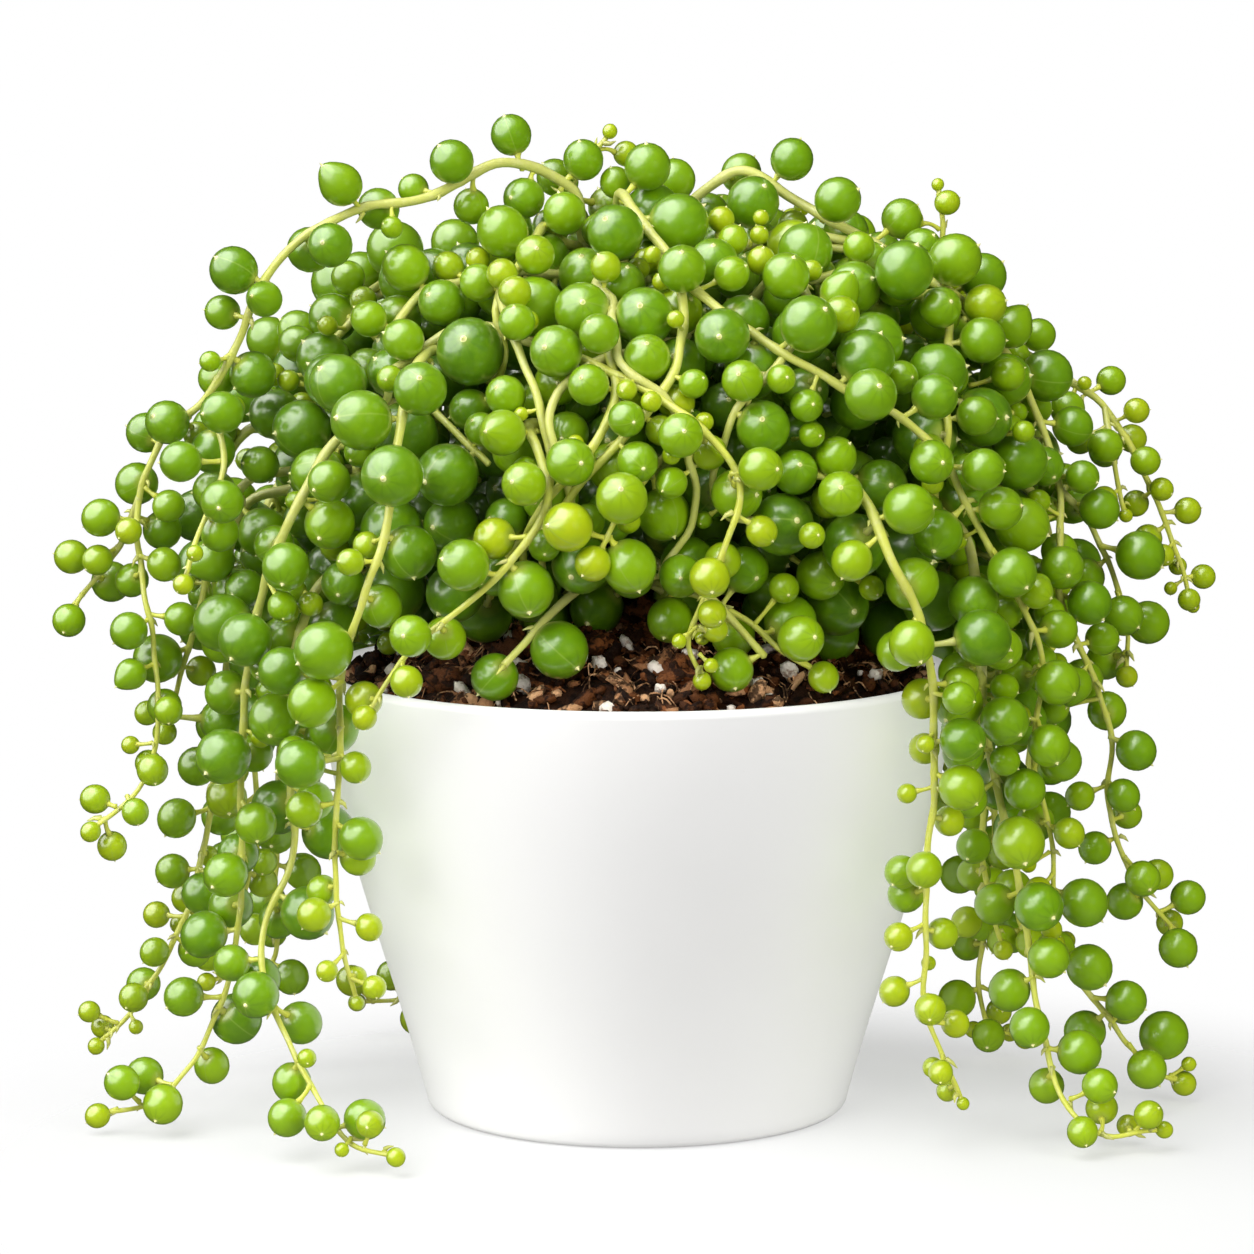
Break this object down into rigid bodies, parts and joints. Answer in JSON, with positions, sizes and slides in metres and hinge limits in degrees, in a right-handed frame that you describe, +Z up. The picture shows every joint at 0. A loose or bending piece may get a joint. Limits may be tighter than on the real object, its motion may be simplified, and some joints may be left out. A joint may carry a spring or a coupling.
{
  "type": "potted string of pearls plant",
  "caption": "Trailing succulent with round bead leaves in a small tapered white pot: a dense mound over dark soil and long strands that hang over the rim to the table.",
  "frame": {"origin": "middle of the pot's flat underside, on the surface it stands on", "axes": "+Z up along the pot's axis, -Y towards the viewer of the picture, +X to the viewer's right"},
  "size_m": [0.1947, 0.1323, 0.1639],
  "materials": {
    "pot_glaze": "smooth satin-gloss white",
    "soil": "dark brown coir with pale mineral grains",
    "leaf_green": "waxy satin green leaves on pale green stems"
  },
  "bodies": {
    "root": {"pot": "pot_glaze", "soil": "soil", "mound": "leaf_green", "strand_left_arch": "leaf_green", "strand_right_arch": "leaf_green", "strand_shoulder": "leaf_green", "strand_far_right": "leaf_green", "strand_upright": "leaf_green", "strand_crown": "leaf_green", "strand_front": "leaf_green", "strand_middle": "leaf_green", "strand_front_left": "leaf_green", "strand_soil_runner": "leaf_green", "strand_pot_left": "leaf_green", "strand_left_long": "leaf_green", "strand_left_inner": "leaf_green", "strand_left_floor": "leaf_green", "strand_left_back": "leaf_green", "strand_right_rim": "leaf_green", "strand_right_floor": "leaf_green", "strand_right_short": "leaf_green", "strand_back_1": "leaf_green", "strand_back_2": "leaf_green", "strand_back_3": "leaf_green", "strand_back_4": "leaf_green", "strand_back_5": "leaf_green", "strand_back_6": "leaf_green", "strand_back_7": "leaf_green", "strand_back_8": "leaf_green", "strand_back_9": "leaf_green", "strand_back_10": "leaf_green", "strand_back_11": "leaf_green", "strand_back_12": "leaf_green"}
  },
  "joints": []
}
